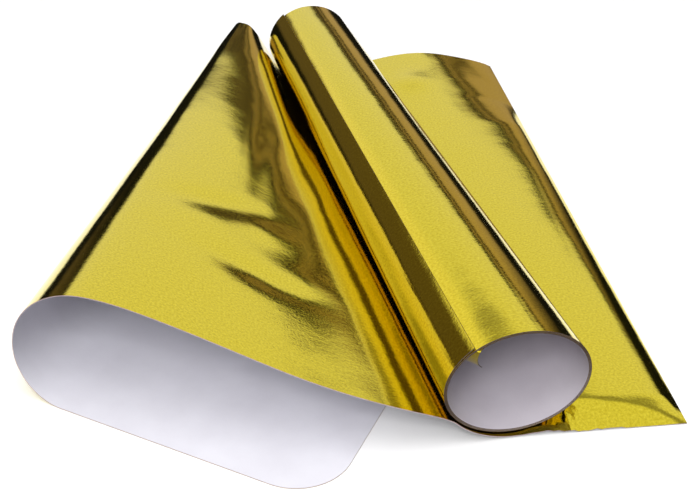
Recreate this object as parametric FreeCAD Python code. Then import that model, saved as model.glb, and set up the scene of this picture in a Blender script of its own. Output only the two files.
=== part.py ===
import FreeCAD, Part
import math
import os

os.makedirs("parts", exist_ok=True)
V = FreeCAD.Vector

# Millimetres. +Y runs along the roll, from its open near mouth to its far end. +Z is up.
# Places are given from the table under the middle of the roll's near mouth. At the end everything is moved back by
# half the web's width, so that the finished part's origin is on the table under the middle of the roll.

# The laminate
web_width = 305.0
film_thickness = 0.10
liner_thickness = 0.16
bond_gap = 0.02

# The wound roll: an oval that its own weight flattens, a little wider at the near mouth
roll_near_half_width = 25.1
roll_near_half_height = 19.7
roll_far_half_width = 21.2
roll_far_half_height = 19.0
wrap_air = 0.10
outer_edge_angle = 128.0
turns_wound = 3.07
stations_per_turn = 20

# How the roll lies on the loose sheet
rest_clearance = 0.30
leaf_overlap_gap = 0.15

# The loose sheet at its near edge and at its far edge
sheet_near = {
    "flap_end": (56.7, -9.5),
    "arch_height": 4.4,
    "arch_peak": 0.58,
    "contact_y": -2.0,
    "hug_angle": 52.0,
    "hug_shift": 1.0,
    "hug_pull": 12.0,
    "leaf_belly": (-64.0, -4.0, 22.0),
    "lobe_top": (-131.7, 50.0),
    "lobe_pull": 38.0,
    "lobe_radius": 21.2,
    "lobe_reach": 21.2,
    "lobe_out": (-0.85, 0.62),
    "lobe_bottom": (-143.0, 49.5),
    "lower_end": (-67.5, -17.6),
}
sheet_far = {
    "flap_end": (97.1, 292.9),
    "arch_height": 8.0,
    "arch_peak": 0.42,
    "contact_y": 306.0,
    "hug_angle": 52.0,
    "hug_shift": 4.0,
    "hug_pull": 15.0,
    "leaf_belly": (-27.0, 318.0, 25.5),
    "lobe_top": (-32.3, 325.0),
    "lobe_pull": 3.0,
    "lobe_radius": 12.4,
    "lobe_reach": 4.5,
    "lobe_out": (-0.85, 0.62),
    "lobe_bottom": (-33.0, 337.0),
    "lower_end": (113.7, 228.0),
}
near_corner_radius = 20.0
far_corner_radius = 85.0

# Stations along each stretch of the sheet
flap_stations = 10
hug_stations = 6
leaf_stations = 14
lobe_stations = 12
lower_stations = 6
slope_step = 0.001

laminate = film_thickness + bond_gap + liner_thickness
contact_height = laminate + leaf_overlap_gap
roll_base = contact_height + laminate + rest_clearance
wrap_pitch = laminate + wrap_air


def bezier(controls, t):
    """Point at t on the smooth curve that runs from the first control point to the last."""
    degree = len(controls) - 1
    point = V(0, 0, 0)
    for i, control in enumerate(controls):
        point = point + control * (math.comb(degree, i) * t ** i * (1 - t) ** (degree - i))
    return point


def sheet_stretches(edge, half_width, half_height):
    """The five stretches of one edge of the sheet, each a function of t from 0 to 1, at the film's back."""
    back = bond_gap + liner_thickness
    low = contact_height + back
    hug_half_width = half_width + rest_clearance + film_thickness
    hug_half_height = half_height + rest_clearance + film_thickness
    hug_centre = low + hug_half_height
    hug = math.radians(edge["hug_angle"])
    radius = edge["lobe_radius"]
    out = V(edge["lobe_out"][0], edge["lobe_out"][1], 0) * edge["lobe_reach"]
    top = V(edge["lobe_top"][0], edge["lobe_top"][1], film_thickness + 2 * radius)
    bottom = V(edge["lobe_bottom"][0], edge["lobe_bottom"][1], film_thickness)
    end = V(edge["lower_end"][0], edge["lower_end"][1], film_thickness)
    drift = V(bottom.x - top.x, bottom.y - top.y, 0)
    arch_skew = math.log(0.5) / math.log(edge["arch_peak"])

    def flap(t):
        x = edge["flap_end"][0] * (1 - t)
        y = edge["flap_end"][1] * (1 - t) + edge["contact_y"] * t
        arch = math.sin(math.pi * abs(t) ** arch_skew) * (1 - t ** 6)
        return V(x, y, back + contact_height * t + edge["arch_height"] * arch)

    def under_roll(t):
        x = -hug_half_width * math.sin(hug * t)
        y = edge["contact_y"] + edge["hug_shift"] * t
        z = hug_centre - hug_half_height * math.cos(hug * t)
        return V(x, y, z)

    hug_end = under_roll(1)
    hug_way = (under_roll(1 + slope_step) - under_roll(1 - slope_step)).normalize()
    top_way = (out + drift * (1 / math.pi)).normalize()
    belly = V(*edge["leaf_belly"])
    leaf_controls = [hug_end, hug_end + hug_way * edge["hug_pull"], belly, top - top_way * edge["lobe_pull"], top]

    def leaf(t):
        return bezier(leaf_controls, t)

    def lobe(t):
        point = top + drift * t + out * math.sin(math.pi * t)
        return V(point.x, point.y, film_thickness + radius * (1 + math.cos(math.pi * t)))

    def lower(t):
        return bezier([bottom, end], t)

    return [flap, under_roll, leaf, lobe, lower]


def stretch_stations(stretches):
    """Lists of (point, direction) for each stretch, with the joint stations shared."""
    counts = [flap_stations, hug_stations, leaf_stations, lobe_stations, lower_stations]
    lists = []
    for stretch, count in zip(stretches, counts):
        stations = []
        for i in range(count + 1):
            t = i / count
            way = stretch(t + slope_step) - stretch(t - slope_step)
            stations.append((stretch(t), way.normalize()))
        lists.append(stations)
    for earlier, later in zip(lists, lists[1:]):
        earlier[-1] = later[0]
    return lists


def curve(points):
    """A smooth curve through the points, with evenly spaced parameters, so that partner curves share their knots."""
    spline = Part.BSplineCurve()
    spline.interpolate(Points=points, Parameters=[i / (len(points) - 1) for i in range(len(points))])
    return spline


def ruled_face(first, second):
    """The face of straight lines that join two partner curves at like parameters."""
    surface = Part.BSplineSurface()
    poles = [first.getPoles(), second.getPoles()]
    surface.buildFromPolesMultsKnots(poles, [2, 2], first.getMultiplicities(), [0, 1], first.getKnots(),
                                     False, False, 1, first.Degree)
    return surface.toShape()


def closed_solid(faces):
    shell = Part.makeShell(faces)
    shell.sewShape()
    solid = Part.Solid(Part.Shell(shell.Faces))
    if solid.Volume < 0:
        solid.reverse()
    return solid


def flat_face(corners):
    return Part.Face(Part.makePolygon(corners + corners[:1]))


def layer(near_outer, far_outer, near_inner, far_inner, flat_stretches=0):
    """One layer of the web: ruled faces from its near edge to its far edge, closed along all four edges.
    The last flat_stretches stretches are straight and lie level, so their faces are true planes."""
    faces = []
    first_flat = len(near_outer) - flat_stretches
    for i in range(len(near_outer)):
        lines = [points[i] for points in (near_outer, far_outer, far_inner, near_inner)]
        for first, second in zip(lines, lines[1:] + lines[:1]):
            if i < first_flat:
                faces.append(ruled_face(curve(first), curve(second)))
            else:
                faces.append(flat_face([first[0], first[-1], second[-1], second[0]]))
    for stretch, station in ((0, 0), (-1, -1)):
        corners = [points[stretch][station] for points in (near_outer, far_outer, far_inner, near_inner)]
        faces.append(ruled_face(curve(corners[:2]), curve(corners[:1:-1])))
    return closed_solid(faces)


def sheet_layer(back_offset, face_offset):
    """A layer of the loose sheet between two offsets from the back of its film, measured towards the gold side."""
    near = stretch_stations(sheet_stretches(sheet_near, roll_near_half_width, roll_near_half_height))
    far = stretch_stations(sheet_stretches(sheet_far, roll_far_half_width, roll_far_half_height))
    grids = [[], [], [], []]
    for near_list, far_list in zip(near, far):
        rows = [[], [], [], []]
        for (near_point, near_way), (far_point, far_way) in zip(near_list, far_list):
            ruling = (far_point - near_point).normalize()
            near_normal = ruling.cross(near_way).normalize()
            far_normal = ruling.cross(far_way).normalize()
            rows[0].append(near_point + near_normal * face_offset)
            rows[1].append(far_point + far_normal * face_offset)
            rows[2].append(near_point + near_normal * back_offset)
            rows[3].append(far_point + far_normal * back_offset)
        for grid, row in zip(grids, rows):
            grid.append(row)
    return round_end(layer(*grids, flat_stretches=1))


def corner_cutter(corner, along_end, along_edge, radius):
    """The waste outside a round corner of that radius, as a short prism through the lower leaf."""
    reach = 3.0
    start = corner + along_end * radius
    finish = corner + along_edge * radius
    centre = corner + (along_end + along_edge) * radius
    middle_way = (corner - centre).normalize()
    middle = centre + middle_way * radius
    past = [start - along_edge * reach, corner - (along_end + along_edge) * reach, finish - along_end * reach]
    arc = Part.Arc(start, middle, finish).toShape()
    sides = [Part.makeLine(finish, past[2]), Part.makeLine(past[2], past[1])]
    sides += [Part.makeLine(past[1], past[0]), Part.makeLine(past[0], start)]
    outline = Part.Face(Part.Wire([arc] + sides))
    return outline.extrude(V(0, 0, 2 * reach)).translated(V(0, 0, -reach))


def round_end(solid):
    """The layer with the two corners of its lower end rounded, as the knife left them."""
    near_end = V(sheet_near["lower_end"][0], sheet_near["lower_end"][1], 0)
    far_end = V(sheet_far["lower_end"][0], sheet_far["lower_end"][1], 0)
    end_way = (far_end - near_end).normalize()
    square_way = V(-end_way.y, end_way.x, 0)
    near_cut = corner_cutter(near_end, end_way, square_way, near_corner_radius)
    far_cut = corner_cutter(far_end, end_way * -1, square_way, far_corner_radius)
    return solid.cut(near_cut).cut(far_cut).Solids[0]


def wound_edge(half_width, half_height, y, depth):
    """One edge of a wound layer, that deep under the roll's outer face: an oval spiral from its outer end."""
    centre_height = roll_base + half_height
    count = int(round(turns_wound * stations_per_turn))
    points = []
    for i in range(count + 1):
        turned = turns_wound * i / count
        angle = math.radians(outer_edge_angle + 360 * turned)
        inward = depth + wrap_pitch * turned
        x = (half_width - inward) * math.cos(angle)
        z = centre_height + (half_height - inward) * math.sin(angle)
        points.append(V(x, y, z))
    return points


def wound_layer(outer_depth, inner_depth):
    edges = []
    for depth in (outer_depth, inner_depth):
        edges.append([wound_edge(roll_near_half_width, roll_near_half_height, 0, depth)])
        edges.append([wound_edge(roll_far_half_width, roll_far_half_height, web_width, depth)])
    return layer(*edges)


def finish_part():
    solids = {
        "sheet_film": sheet_layer(0, film_thickness),
        "sheet_liner": sheet_layer(-laminate + film_thickness, -bond_gap),
        "roll_film": wound_layer(0, film_thickness),
        "roll_liner": wound_layer(film_thickness + bond_gap, laminate),
    }
    for name, solid in solids.items():
        solid.translate(V(0, -web_width / 2, 0))
        solid.exportStep("parts/" + name + ".step")
        box = solid.BoundBox
        print(name, solid.ShapeType, len(solid.Solids), "valid", solid.isValid(), "volume", round(solid.Volume, 1))
        print("  x", round(box.XMin, 2), round(box.XMax, 2), "y", round(box.YMin, 2), round(box.YMax, 2),
              "z", round(box.ZMin, 3), round(box.ZMax, 2))
    return solids


finish_part()
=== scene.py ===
import math

import bmesh
import bpy
import numpy as np
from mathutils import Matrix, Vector


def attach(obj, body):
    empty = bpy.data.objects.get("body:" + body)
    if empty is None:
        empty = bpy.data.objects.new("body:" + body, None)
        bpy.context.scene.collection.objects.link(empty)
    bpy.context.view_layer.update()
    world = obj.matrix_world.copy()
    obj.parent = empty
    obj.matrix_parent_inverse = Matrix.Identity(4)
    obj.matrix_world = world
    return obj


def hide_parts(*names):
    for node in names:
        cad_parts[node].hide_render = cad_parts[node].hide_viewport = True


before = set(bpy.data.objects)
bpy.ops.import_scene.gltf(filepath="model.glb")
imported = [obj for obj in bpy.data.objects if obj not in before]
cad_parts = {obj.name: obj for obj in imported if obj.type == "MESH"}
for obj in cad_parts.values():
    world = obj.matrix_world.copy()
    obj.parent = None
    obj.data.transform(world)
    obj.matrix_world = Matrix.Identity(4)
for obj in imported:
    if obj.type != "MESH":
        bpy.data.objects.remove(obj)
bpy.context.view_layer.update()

# The camera stands left of the roll's open mouth and looks down along it.
# A long lens, set back about half a metre, keeps the far end of the roll nearly as wide as the mouth.
camera_data = bpy.data.cameras.new("camera")
camera_data.lens = 63.17
camera_data.sensor_width = 36.0
camera_data.clip_start = 0.01
camera_data.clip_end = 20.0
camera = bpy.data.objects.new("camera", camera_data)
camera.location = (-0.1289, -0.4420, 0.2577)
camera.rotation_euler = Vector((0.2111, 0.8313, -0.5140)).to_track_quat("-Z", "Y").to_euler()
bpy.context.scene.collection.objects.link(camera)
bpy.context.scene.camera = camera
bpy.context.scene.view_settings.view_transform = "Standard"

# The table is a plain white floor. What the film mirrors of it is a board a little larger than the sheet, which only
# mirrored light meets, so the film's turned-away sides stay dark, as they are in the photograph.
floor_half_size = (1.6, 1.6)
board_half_size = (0.175, 0.240)
board_middle = (-0.045, 0.005)
floor_height = -0.00012
board_height = -0.00010
board_finish = bpy.data.materials.new("white_board")
board_finish.use_nodes = True
board_shader = board_finish.node_tree.nodes["Principled BSDF"]
board_shader.inputs["Base Color"].default_value = (0.93, 0.93, 0.935, 1.0)
board_shader.inputs["Roughness"].default_value = 0.7
board_shader.inputs["Specular IOR Level"].default_value = 0.2


def level_ground(name, half_size, centre):
    ground = bmesh.new()
    bmesh.ops.create_grid(ground, x_segments=1, y_segments=1, size=1.0)
    bmesh.ops.scale(ground, vec=(*half_size, 1.0), verts=ground.verts)
    bmesh.ops.translate(ground, vec=centre, verts=ground.verts)
    mesh = bpy.data.meshes.new(name)
    ground.to_mesh(mesh)
    ground.free()
    mesh.materials.append(board_finish)
    piece = bpy.data.objects.new(name, mesh)
    bpy.context.scene.collection.objects.link(piece)
    return piece


white_floor = level_ground("white_floor", floor_half_size, (0.0, 0.0, floor_height))
white_floor.visible_glossy = False
white_floor.visible_diffuse = False
table_board = level_ground("table_board", board_half_size, (*board_middle, board_height))
table_board.visible_camera = False
table_board.visible_diffuse = False
table_board.visible_transmission = False
table_board.visible_shadow = False

# The room is seen in the film only. Its white upper walls reach lower straight ahead than at the sides, and over them
# come a dim band and a bright ceiling. Dim warm walls stand at the right and left, and three dark rails slope up the
# right one. To the camera, the backdrop is as pale as the floor. Soft daylight from overhead and a front lamp light it.
wall_foot = (0.02, 0.09)
right_wall_light = 0.44
left_wall_light = 0.10
wall_colour = (1.0, 0.74, 0.50, 1.0)
upper_wall_light = 1.02
dim_band_light = 0.42
ceiling_light = 0.60
lowest_light = 0.010
rail_slope = 0.5
rail_light = 0.03
dark_rails = [(0.035, 0.075, 0.60), (0.102, 0.154, 0.49), (0.164, 0.202, 0.345)]
world = bpy.data.worlds.new("studio")
bpy.context.scene.world = world
world.use_nodes = True
sky = world.node_tree
for node in list(sky.nodes):
    sky.nodes.remove(node)
sky_way = sky.nodes.new("ShaderNodeTexCoord")
sky_split = sky.nodes.new("ShaderNodeSeparateXYZ")
sky.links.new(sky_way.outputs["Generated"], sky_split.inputs["Vector"])


def sky_math(operation, first, second):
    node = sky.nodes.new("ShaderNodeMath")
    node.operation = operation
    for socket, value in zip(node.inputs, (first, second)):
        if isinstance(value, float):
            socket.default_value = value
        else:
            sky.links.new(value, socket)
    return node.outputs["Value"]


def sky_step(value, low, high, light):
    """Light that rises smoothly from none to its full value between two heights or sides."""
    node = sky.nodes.new("ShaderNodeMapRange")
    node.interpolation_type = "SMOOTHSTEP"
    node.inputs["From Min"].default_value = low
    node.inputs["From Max"].default_value = high
    node.inputs["To Max"].default_value = light
    sky.links.new(value, node.inputs["Value"])
    return node.outputs["Result"]


side, height = sky_split.outputs["X"], sky_split.outputs["Z"]
right_drop = sky_math("MINIMUM", sky_math("MULTIPLY", side, 0.33), 0.13)
drop = sky_math("MAXIMUM", right_drop, sky_math("MULTIPLY", side, -0.32))
wall_height = sky_math("SUBTRACT", height, drop)
above_foot = sky_step(height, *wall_foot, 1.0)
upper_walls = sky_math("MULTIPLY", sky_step(wall_height, 0.208, 0.275, upper_wall_light),
                       sky_step(height, 0.65, 0.59, 1.0))
upper_walls = sky_math("ADD", upper_walls, sky_step(height, 0.59, 0.65, dim_band_light))
ceiling = sky_step(height, 0.74, 0.86, ceiling_light)
warm_walls = sky_math("MULTIPLY", sky_step(side, 0.10, 0.24, right_wall_light), above_foot)
warm_walls = sky_math("MULTIPLY", warm_walls, sky_step(wall_height, 0.260, 0.200, 1.0))
warm_walls = sky_math("MULTIPLY", warm_walls, sky_step(side, 0.68, 0.54, 1.0))
left_wall = sky_math("MULTIPLY", sky_step(side, -0.10, -0.28, left_wall_light), above_foot)
warm_walls = sky_math("ADD", warm_walls, left_wall)
rail_height = sky_math("SUBTRACT", height, sky_math("MULTIPLY", side, rail_slope))
for low, high, right_end in dark_rails:
    clear = sky_math("MAXIMUM", sky_step(rail_height, low + 0.006, low - 0.008, 1.0),
                     sky_step(rail_height, high - 0.006, high + 0.010, 1.0))
    clear = sky_math("MAXIMUM", clear, sky_step(side, right_end, right_end + 0.04, 1.0))
    clear = sky_math("MAXIMUM", clear, sky_step(side, 0.20, 0.12, 1.0))
    clear = sky_math("ADD", sky_math("MULTIPLY", clear, 1.0 - rail_light), rail_light)
    warm_walls = sky_math("MULTIPLY", warm_walls, clear)
    upper_walls = sky_math("MULTIPLY", upper_walls, clear)
room = sky_math("ADD", sky_math("ADD", upper_walls, ceiling), lowest_light)
white_light = sky.nodes.new("ShaderNodeBackground")
sky.links.new(room, white_light.inputs["Strength"])
warm_light = sky.nodes.new("ShaderNodeBackground")
warm_light.inputs["Color"].default_value = wall_colour
sky.links.new(warm_walls, warm_light.inputs["Strength"])
room_light = sky.nodes.new("ShaderNodeAddShader")
sky.links.new(white_light.outputs["Background"], room_light.inputs[0])
sky.links.new(warm_light.outputs["Background"], room_light.inputs[1])
backdrop = sky.nodes.new("ShaderNodeBackground")
backdrop.inputs["Color"].default_value = (0.97, 0.97, 0.975, 1.0)
seen = sky.nodes.new("ShaderNodeLightPath")
sky_mix = sky.nodes.new("ShaderNodeMixShader")
sky_out = sky.nodes.new("ShaderNodeOutputWorld")
sky.links.new(seen.outputs["Is Camera Ray"], sky_mix.inputs["Fac"])
sky.links.new(room_light.outputs["Shader"], sky_mix.inputs[1])
sky.links.new(backdrop.outputs["Background"], sky_mix.inputs[2])
sky.links.new(sky_mix.outputs["Shader"], sky_out.inputs["Surface"])
overhead_data = bpy.data.lights.new("overhead_daylight", "SUN")
overhead_data.energy = 1.15
overhead_data.angle = math.radians(60)
overhead = bpy.data.objects.new("overhead_daylight", overhead_data)
overhead.rotation_euler = Vector((0.05, 0.25, -1.0)).to_track_quat("-Z", "Y").to_euler()
overhead.visible_glossy = False
bpy.context.scene.collection.objects.link(overhead)
fill_data = bpy.data.lights.new("front_fill", "AREA")
fill_data.size = 0.6
fill_data.energy = 14.0
fill = bpy.data.objects.new("front_fill", fill_data)
fill.location = (-0.45, -1.15, 0.90)
fill.rotation_euler = Vector((0.35, 1.05, -0.85)).to_track_quat("-Z", "Y").to_euler()
bpy.context.scene.collection.objects.link(fill)

# The loose sheet's film is clear plastic with a layer of aluminium under a yellow lacquer, 305 mm wide, cut by hand.
# Its curl from the stock roll shapes it: the flap lies gold up on the right, the web hugs the wound roll, springs up,
# curls over in a wide lobe and comes back along the table. Lengths of webs here and below are in millimetres.
web_width = 305.0
film_thickness = 0.10
liner_thickness = 0.16
bond_gap = 0.02
contact_height = 0.43
rest_clearance = 0.30
roll_near_half = (25.1, 19.7)
roll_far_half = (21.2, 19.0)
sheet_near = {
    "half": roll_near_half,
    "flap_end": (56.7, -9.5), "arch_height": 4.4, "arch_peak": 0.58, "contact_y": -2.0,
    "hug_angle": 52.0, "hug_shift": 1.0, "hug_pull": 12.0, "leaf_belly": (-64.0, -4.0, 22.0),
    "lobe_top": (-131.7, 50.0), "lobe_pull": 38.0, "lobe_radius": 21.2, "lobe_reach": 21.2,
    "lobe_bottom": (-143.0, 49.5), "lower_end": (-67.5, -17.6),
}
sheet_far = {
    "half": roll_far_half,
    "flap_end": (97.1, 292.9), "arch_height": 8.0, "arch_peak": 0.42, "contact_y": 306.0,
    "hug_angle": 52.0, "hug_shift": 4.0, "hug_pull": 15.0, "leaf_belly": (-27.0, 318.0, 27.5),
    "lobe_top": (-32.3, 325.0), "lobe_pull": 3.0, "lobe_radius": 12.4, "lobe_reach": 4.5,
    "lobe_bottom": (-33.0, 337.0), "lower_end": (113.7, 228.0),
}
lobe_out = np.array((-0.85, 0.62))
stretch_columns = (34, 12, 84, 70, 56)
sheet_rows = 156
lower_leaf_runs = (101.0, 182.8)
near_corner = 20.0
far_corner = 85.0


def along_bezier(controls, t):
    degree = len(controls) - 1
    return sum(np.outer(math.comb(degree, i) * t ** i * (1 - t) ** (degree - i), np.array(c, float))
               for i, c in enumerate(controls))


def edge_stretch(edge, stretch, t):
    """Points along one cut edge of the sheet in one of its five stretches, at the film's back."""
    half_width, half_height = edge["half"]
    back = bond_gap + liner_thickness
    hug_width = half_width + rest_clearance + film_thickness
    hug_height = half_height + rest_clearance + film_thickness
    hug_centre = contact_height + back + hug_height
    hug = math.radians(edge["hug_angle"])

    def under_roll(u):
        angle = hug * u
        return np.stack([-hug_width * np.sin(angle), edge["contact_y"] + edge["hug_shift"] * u,
                         hug_centre - hug_height * np.cos(angle)], 1)

    if stretch == 0:
        skew = math.log(0.5) / math.log(edge["arch_peak"])
        arch = np.sin(math.pi * np.abs(t) ** skew) * (1 - t ** 6)
        return np.stack([edge["flap_end"][0] * (1 - t), edge["flap_end"][1] * (1 - t) + edge["contact_y"] * t,
                         back + contact_height * t + edge["arch_height"] * arch], 1)
    if stretch == 1:
        return under_roll(t)
    radius = edge["lobe_radius"]
    out = np.append(lobe_out * edge["lobe_reach"], 0)
    top = np.array([*edge["lobe_top"], film_thickness + 2 * radius])
    bottom = np.array([*edge["lobe_bottom"], film_thickness])
    drift = np.array([*(bottom - top)[:2], 0])
    if stretch == 2:
        start, before, after = under_roll(np.array([1.0, 0.999, 1.001]))
        hug_way = (after - before) / np.linalg.norm(after - before)
        top_way = out + drift / math.pi
        top_way = top_way / np.linalg.norm(top_way)
        return along_bezier([start, start + hug_way * edge["hug_pull"], edge["leaf_belly"],
                             top - top_way * edge["lobe_pull"], top], t)
    if stretch == 3:
        turn = math.pi * t
        points = top + np.outer(t, drift) + np.outer(np.sin(turn), out)
        points[:, 2] = film_thickness + radius * (1 + np.cos(turn))
        return points
    return along_bezier([bottom, (*edge["lower_end"], film_thickness)], t)


def sheet_edge_points(edge, column):
    starts = np.cumsum((0,) + stretch_columns)
    stretch = np.clip(np.searchsorted(starts, column, side="right") - 1, 0, 4)
    points = np.zeros((len(column), 3))
    for i in range(5):
        there = stretch == i
        if there.any():
            points[there] = edge_stretch(edge, i, (column[there] - starts[i]) / stretch_columns[i])
    return points


def edge_lengths(edge):
    """Web length from the flap's end to each column, along one cut edge."""
    fine = np.linspace(0, sum(stretch_columns), 2561)
    points = sheet_edge_points(edge, fine)
    run = np.append(0, np.cumsum(np.linalg.norm(np.diff(points, axis=0), axis=1)))
    return fine, run


def bump_at(s, w, centre, half_size, slant):
    """A soft round-topped patch, 1 at its centre, on the flat web."""
    c, d = math.cos(math.radians(slant)), math.sin(math.radians(slant))
    p, q = s - centre[0], w - centre[1]
    return np.exp(-((p * c + q * d) / half_size[0]) ** 2 - ((q * c - p * d) / half_size[1]) ** 2)


# Dents and pulls that handling left in the web: centre along and across the flat web, half sizes, slant, height.
# The flap's end rolls down to the table, and its near edge is folded down and crumpled along the lip.
sheet_dents = [
    ((144, 190), (23, 95), 4, 2.3),
    ((162, 92), (22, 8), -14, -0.62),
    ((142, 86), (10, 9), 20, 0.30),
    ((146, 52), (20, 7), 8, -0.50),
    ((128, 60), (12, 8), -25, 0.24),
    ((141, 150), (5, 40), 6, -0.40),
    ((131, 205), (6, 55), -4, 0.45),
    ((150, 215), (8, 38), 3, -0.35),
    ((118, 120), (8, 45), 12, 0.40),
    ((160, 268), (9, 30), 0, 0.45),
    ((111, 240), (13, 55), 0, -2.2),
    ((44, 312), (24, 62), 8, 1.5),
    ((16, 288), (10, 34), -20, -0.35),
    ((50, 271), (9, 10), 0, 0.80),
]
wave_height = 0.10
end_roll_height, end_roll_width = 1.5, 8.0
end_roll_stops, end_roll_fades = 255.0, 30.0
lip_places, lip_widths = (1, 16, 34, 52), (0.5, 7.0, 10.5, 8.0)
lip_fold, lip_crumple = 0.40, 0.27
lowest_flap_back = 0.25


def sheet_lift(s, w, column):
    """How far the web stands off its smooth bend, towards the gold side."""
    starts = np.cumsum((0,) + stretch_columns)
    leaf_free = np.clip((column - starts[2]) / 14, 0, 1) * np.clip((starts[4] - 12 - column) / 18, 0, 1)
    flap_free = np.clip((starts[1] - 2 - column) / 10, 0, 1)
    free = leaf_free + flap_free
    lift = wave_height * np.sin(s / 9.5 + 2.1 * np.sin(w / 47) + 0.6) * np.sin(w / 31 + 1.3 * np.sin(s / 33))
    for centre, half_size, slant, height in sheet_dents:
        lift += height * bump_at(s, w, centre, half_size, slant)
    lift = lift * free
    from_end = s / end_roll_width
    end_roll_share = np.clip((end_roll_stops - w) / end_roll_fades, 0, 1) * np.clip(w / 12, 0, 1) * flap_free
    lift += end_roll_height * from_end * np.exp(1 - from_end) * end_roll_share
    lip_line = np.interp(s, lip_places, lip_widths)
    below = np.clip(lip_line - w, 0, None) * np.clip((56 - s) / 12, 0, 1) * flap_free
    crumple = np.sin(s * 1.15 + 2.4 * np.sin(w * 0.7)) * np.sin(w * 0.9 + s * 0.35) + 0.6 * np.sin(s * 2.3 - w * 1.1)
    return lift - lip_fold * below + lip_crumple * crumple * np.clip(below / 3, 0, 1)


def sheet_point(across, column, depth):
    """Places points of the flat web, depth millimetres off the film's back towards the gold side."""
    near, far = sheet_edge_points(sheet_near, column), sheet_edge_points(sheet_far, column)
    base = near + (far - near) * across[:, None]
    step = 0.02
    ahead, behind = column + step, column - step
    way = ((sheet_edge_points(sheet_near, ahead) - sheet_edge_points(sheet_near, behind)) * (1 - across[:, None])
           + (sheet_edge_points(sheet_far, ahead) - sheet_edge_points(sheet_far, behind)) * across[:, None])
    normal = np.cross(far - near, way)
    normal /= np.linalg.norm(normal, axis=1)[:, None]
    fine, near_run = edge_lengths(sheet_near)
    far_run = edge_lengths(sheet_far)[1]
    s = np.interp(column, fine, near_run) * (1 - across) + np.interp(column, fine, far_run) * across
    w = across * web_width
    points = base + normal * sheet_lift(s, w, column)[:, None]
    raised = np.maximum(points[:, 2], lowest_flap_back)
    points[:, 2] = np.where(column < stretch_columns[0], raised, points[:, 2])
    points = points + normal * depth
    points[:, 1] -= web_width / 2
    return points / 1000, np.stack([s, w], 1) / 1000


def cut_round_corner(flat, corner, radii):
    """Trims one corner of the flat web to a quarter oval with straight cuts along its tangents."""
    steps = 14
    toward = Vector((1 if corner[0] > 0.5 else -1, 1 if corner[1] > 0.5 else -1, 0))
    centre = Vector((corner[0] - toward.x * radii[0], corner[1] - toward.y * radii[1], 0))
    for i in range(1, steps):
        angle = math.pi / 2 * i / steps
        point = centre + Vector((toward.x * radii[0] * math.cos(angle), toward.y * radii[1] * math.sin(angle), 0))
        normal = Vector((toward.x * math.cos(angle) / radii[0], toward.y * math.sin(angle) / radii[1], 0))
        bmesh.ops.bisect_plane(flat, geom=flat.verts[:] + flat.edges[:] + flat.faces[:], dist=1e-7,
                               plane_co=point, plane_no=normal.normalized(), clear_outer=True)


def web_piece(name, flat, place, thickness, side):
    """Bends a flat web into its place and gives it its thickness, on the gold side (1) or the liner side (-1)."""
    flat.verts.ensure_lookup_table()
    spots = np.array([v.co[:2] for v in flat.verts])
    points, web_places = place(spots)
    for vert, point in zip(flat.verts, points):
        vert.co = point
    uv = flat.loops.layers.uv.new("web")
    for face in flat.faces:
        face.smooth = True
        for loop in face.loops:
            loop[uv].uv = web_places[loop.vert.index]
    for edge in flat.edges:
        edge.smooth = not edge.is_boundary
    mesh = bpy.data.meshes.new(name)
    flat.to_mesh(mesh)
    flat.free()
    piece = bpy.data.objects.new(name, mesh)
    bpy.context.scene.collection.objects.link(piece)
    wall = piece.modifiers.new("thickness", "SOLIDIFY")
    wall.thickness = thickness / 1000
    wall.offset = side
    wall.material_offset_rim = 1
    return piece


def flat_sheet():
    columns = sum(stretch_columns)
    flat = bmesh.new()
    bmesh.ops.create_grid(flat, x_segments=columns, y_segments=sheet_rows, size=0.5)
    bmesh.ops.translate(flat, vec=(0.5, 0.5, 0), verts=flat.verts)
    lower_share = stretch_columns[4] / columns
    near_run, far_run = lower_leaf_runs
    cut_round_corner(flat, (1, 0), (near_corner / near_run * lower_share, near_corner / web_width))
    cut_round_corner(flat, (1, 1), (far_corner / far_run * lower_share, far_corner / web_width))
    bmesh.ops.reverse_faces(flat, faces=flat.faces)
    return flat


def place_sheet(depth):
    def place(spots):
        return sheet_point(spots[:, 1], spots[:, 0] * sum(stretch_columns), depth)
    return place


sheet_film = web_piece("sheet_gold_film", flat_sheet(), place_sheet(0.0), film_thickness, 1)

# The lacquer has a fine sandy grain, and handling leaves ripples that fray the reflections
gold = bpy.data.materials.new("gold_mirror_film")
gold.use_nodes = True
tree = gold.node_tree
shader = tree.nodes["Principled BSDF"]
shader.inputs["Metallic"].default_value = 1.0
shader.inputs["Coat Weight"].default_value = 0.12
shader.inputs["Coat Roughness"].default_value = 0.08
web_place = tree.nodes.new("ShaderNodeUVMap")
web_place.uv_map = "web"


def stretched_noise(tree, place, scales, detail, roughness=0.5):
    """Noise laid on the flat web, with so many cells a metre along it and across it."""
    mapping = tree.nodes.new("ShaderNodeMapping")
    mapping.inputs["Scale"].default_value = (scales[0], scales[1], 1.0)
    tree.links.new(place.outputs["UV"], mapping.inputs["Vector"])
    noise = tree.nodes.new("ShaderNodeTexNoise")
    noise.inputs["Scale"].default_value = 1.0
    noise.inputs["Detail"].default_value = detail
    noise.inputs["Roughness"].default_value = roughness
    tree.links.new(mapping.outputs["Vector"], noise.inputs["Vector"])
    return noise.outputs["Fac"]


def blend_colours(tree, factor, first, second):
    mix = tree.nodes.new("ShaderNodeMix")
    mix.data_type = "RGBA"
    mix.inputs["A"].default_value = (*first, 1.0)
    mix.inputs["B"].default_value = (*second, 1.0)
    tree.links.new(factor, mix.inputs["Factor"])
    return mix.outputs["Result"]


def spread(tree, value, low, high, to_low, to_high):
    node = tree.nodes.new("ShaderNodeMapRange")
    for name, number in (("From Min", low), ("From Max", high), ("To Min", to_low), ("To Max", to_high)):
        node.inputs[name].default_value = number
    tree.links.new(value, node.inputs["Value"])
    return node.outputs["Result"]


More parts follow.
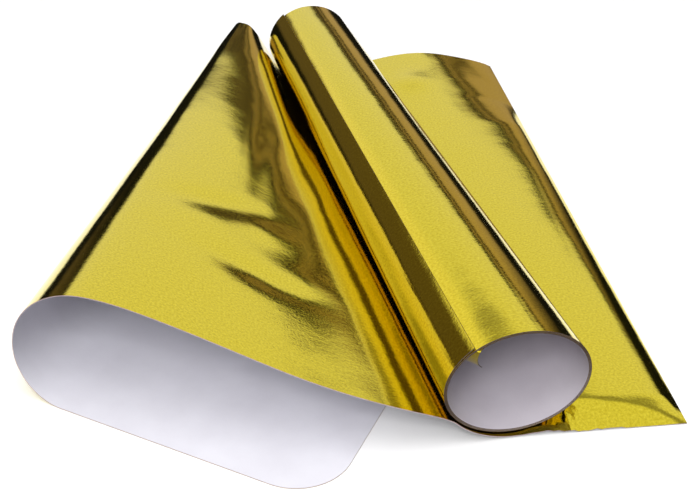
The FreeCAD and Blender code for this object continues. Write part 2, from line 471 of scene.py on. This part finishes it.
def add_bump(tree, height, distance, strength, below=None):
    bump = tree.nodes.new("ShaderNodeBump")
    bump.inputs["Distance"].default_value = distance
    bump.inputs["Strength"].default_value = strength
    tree.links.new(height, bump.inputs["Height"])
    if below is not None:
        tree.links.new(below, bump.inputs["Normal"])
    return bump.outputs["Normal"]


grain = stretched_noise(tree, web_place, (1150, 1150), 2.0, 0.6)
ripple = stretched_noise(tree, web_place, (210, 340), 3.0, 0.55)
sway = stretched_noise(tree, web_place, (26, 22), 2.0)
lacquer = blend_colours(tree, spread(tree, grain, 0.30, 0.70, 0.0, 1.0), (0.68, 0.535, 0.020), (0.92, 0.765, 0.055))
tree.links.new(lacquer, shader.inputs["Base Color"])
tree.links.new(spread(tree, grain, 0.3, 0.7, 0.055, 0.11), shader.inputs["Roughness"])
surface = add_bump(tree, sway, 0.0016, 0.25)
surface = add_bump(tree, ripple, 0.00010, 0.22, surface)
surface = add_bump(tree, grain, 0.00004, 0.42, surface)
tree.links.new(surface, shader.inputs["Normal"])


def cut_edge_finish(name, first, second, smoothest, roughest):
    """The dull edge that a knife leaves, in two colours that change along the cut."""
    cut = bpy.data.materials.new(name)
    cut.use_nodes = True
    tree = cut.node_tree
    shader = tree.nodes["Principled BSDF"]
    web_place = tree.nodes.new("ShaderNodeUVMap")
    web_place.uv_map = "web"
    knife = stretched_noise(tree, web_place, (420, 420), 2.0)
    tree.links.new(blend_colours(tree, knife, first, second), shader.inputs["Base Color"])
    tree.links.new(spread(tree, knife, 0.3, 0.7, smoothest, roughest), shader.inputs["Roughness"])
    return cut


sheet_film.data.materials.append(gold)
rosy_edge = cut_edge_finish("cut_film_edge", (0.42, 0.25, 0.20), (0.60, 0.42, 0.36), 0.5, 0.7)
sheet_film.data.materials.append(rosy_edge)
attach(sheet_film, "sheet")
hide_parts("sheet_film")

# The loose sheet's release liner is a smooth white paper, silicone coated on the side that the film sits on.
# It is bent with the film and shows inside the lobe and on the lower leaf. Its cut edge is coloured a darker rosy tone.
sheet_liner = web_piece("sheet_release_liner", flat_sheet(), place_sheet(-bond_gap), liner_thickness, -1)


def liner_finish(name, first, second):
    paper = bpy.data.materials.new(name)
    paper.use_nodes = True
    tree = paper.node_tree
    shader = tree.nodes["Principled BSDF"]
    shader.inputs["Coat Weight"].default_value = 0.10
    shader.inputs["Coat Roughness"].default_value = 0.35
    web_place = tree.nodes.new("ShaderNodeUVMap")
    web_place.uv_map = "web"
    fibre = stretched_noise(tree, web_place, (1500, 900), 3.0, 0.6)
    cloud = stretched_noise(tree, web_place, (55, 55), 3.0)
    pulp = tree.nodes.new("ShaderNodeMath")
    pulp.operation = "MULTIPLY_ADD"
    pulp.inputs[1].default_value = 0.35
    tree.links.new(fibre, pulp.inputs[0])
    tree.links.new(spread(tree, cloud, 0.3, 0.7, 0.0, 0.65), pulp.inputs[2])
    shade = blend_colours(tree, pulp.outputs["Value"], first, second)
    tree.links.new(shade, shader.inputs["Base Color"])
    tree.links.new(spread(tree, fibre, 0.3, 0.7, 0.45, 0.60), shader.inputs["Roughness"])
    tree.links.new(add_bump(tree, fibre, 0.00005, 0.4, add_bump(tree, cloud, 0.0006, 0.12)), shader.inputs["Normal"])
    return paper


sheet_liner.data.materials.append(liner_finish("white_release_liner", (0.68, 0.67, 0.73), (0.77, 0.765, 0.825)))
rosy_paper = cut_edge_finish("cut_paper_edge", (0.55, 0.42, 0.45), (0.72, 0.62, 0.65), 0.6, 0.8)
sheet_liner.data.materials.append(rosy_paper)
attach(sheet_liner, "sheet")
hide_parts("sheet_liner")

# The wound roll's film is the same gold film, wound loosely by hand with the gold outside and no core.
# The roll's own weight flattens it to an oval. Its outer cut edge lies upper left, and inside the mouth the last
# corner of the web is bent in, so that its gold shows. The film's stacked cut edges are painted dark brown: painted
# shade for the gaps between the wound layers.
outer_edge_angle = 128.0
turns_wound = 3.13
wrap_air = 0.10
edge_spring = 0.65
spring_fades = 7.0
inner_turn = 133.8
roll_columns = 300
roll_rows = 112
near_row_share = 0.4
wrap_pitch = film_thickness + bond_gap + liner_thickness + wrap_air
roll_base = contact_height + film_thickness + bond_gap + liner_thickness + rest_clearance


def roll_point(across, turned, inward):
    """Points of the wound web, inward millimetres deeper than the outer face of its first turn."""
    angle = np.radians(outer_edge_angle + 360 * turned)
    inward = inward - edge_spring * np.exp(-turned * inner_turn / spring_fades)
    half_width = roll_near_half[0] + (roll_far_half[0] - roll_near_half[0]) * across
    half_height = roll_near_half[1] + (roll_far_half[1] - roll_near_half[1]) * across
    deep = inward + wrap_pitch * turned
    x = (half_width - deep) * np.cos(angle)
    z = roll_base + half_height + (half_height - deep) * np.sin(angle)
    return np.stack([x, across * web_width - web_width / 2, z], 1)


bent_along = 20.0
bent_across = 20.0
bend_angle = math.radians(85)
bend_radius = 1.0


def bend_corner(points, across, turned, inward):
    """Bends the last corner of the web into the mouth, across a crease from its near edge to its end."""
    from_end = (turns_wound - turned) * inner_turn
    w = across * web_width
    reach = bent_along * bent_across / math.hypot(bent_along, bent_across)
    past = (1 - from_end / bent_along - w / bent_across) * reach
    for i in np.nonzero(past > 0)[0]:
        way = np.array((bent_across, bent_along)) / math.hypot(bent_along, bent_across)
        crease_end, crease_w = from_end[i] + way[0] * past[i], w[i] + way[1] * past[i]
        spots = [(crease_end, crease_w), (crease_end - 0.05 * way[0], crease_w - 0.05 * way[1])]
        turn = np.array([turns_wound - e / inner_turn for e, _ in spots] * 2)
        wide = np.array([c / web_width for _, c in spots] * 2)
        outer, ahead = roll_point(wide[:2], turn[:2], film_thickness)
        inner = roll_point(wide[:1], turn[:1], film_thickness + 1.0)[0]
        ahead = (ahead - outer) / np.linalg.norm(ahead - outer)
        inside = (inner - outer) / np.linalg.norm(inner - outer)
        bent = min(past[i] / bend_radius, bend_angle)
        straight = past[i] - bent * bend_radius
        along = bend_radius * math.sin(bent) + straight * math.cos(bent)
        down = bend_radius * (1 - math.cos(bent)) + straight * math.sin(bent)
        depth = inward - film_thickness
        points[i] = outer + ahead * (along - depth * math.sin(bent)) + inside * (down + depth * math.cos(bent))
    return points


def place_roll(inward):
    def place(spots):
        across = spots[:, 1] * (near_row_share + (1 - near_row_share) * spots[:, 1])
        turned = spots[:, 0] * turns_wound
        points = bend_corner(roll_point(across, turned, inward), across, turned, inward)
        run = turned * inner_turn
        return points / 1000, np.stack([run, across * web_width], 1) / 1000
    return place


def flat_roll():
    flat = bmesh.new()
    bmesh.ops.create_grid(flat, x_segments=roll_columns, y_segments=roll_rows, size=0.5)
    bmesh.ops.translate(flat, vec=(0.5, 0.5, 0), verts=flat.verts)
    bmesh.ops.reverse_faces(flat, faces=flat.faces)
    return flat


roll_film = web_piece("roll_gold_film", flat_roll(), place_roll(film_thickness), film_thickness, 1)
roll_film.data.materials.append(gold)
# Painted shade: the dark brown of the stacked film edges stands for shade between the wound layers.
painted_shade_film_edges = cut_edge_finish("film_edges_with_painted_shade", (0.05, 0.028, 0.010), (0.13, 0.075, 0.03), 0.5, 0.7)
roll_film.data.materials.append(painted_shade_film_edges)
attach(roll_film, "roll")
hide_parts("roll_film")

# The wound roll's release liner is the same white paper, wound with the film and inside it.
# It shows inside the mouth, painted greyer and darker than the sheet's liner: painted shade for the dim inside of the
# roll. Its stacked cut edges are painted nearly black: painted shade for the gaps between the wound layers.
roll_liner = web_piece("roll_release_liner", flat_roll(), place_roll(film_thickness + bond_gap), liner_thickness, -1)
# Painted shade: the roll's liner is coloured darker and greyer than the sheet's for the dim inside of the mouth.
roll_liner.data.materials.append(liner_finish("release_liner_with_painted_shade", (0.50, 0.46, 0.515), (0.60, 0.565, 0.62)))
# Painted shade: the nearly black stacked liner edges stand for shade between the wound layers.
painted_shade_liner_edges = cut_edge_finish("liner_edges_with_painted_shade", (0.035, 0.022, 0.016), (0.09, 0.055, 0.045), 0.6, 0.8)
roll_liner.data.materials.append(painted_shade_liner_edges)
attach(roll_liner, "roll")
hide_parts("roll_liner")
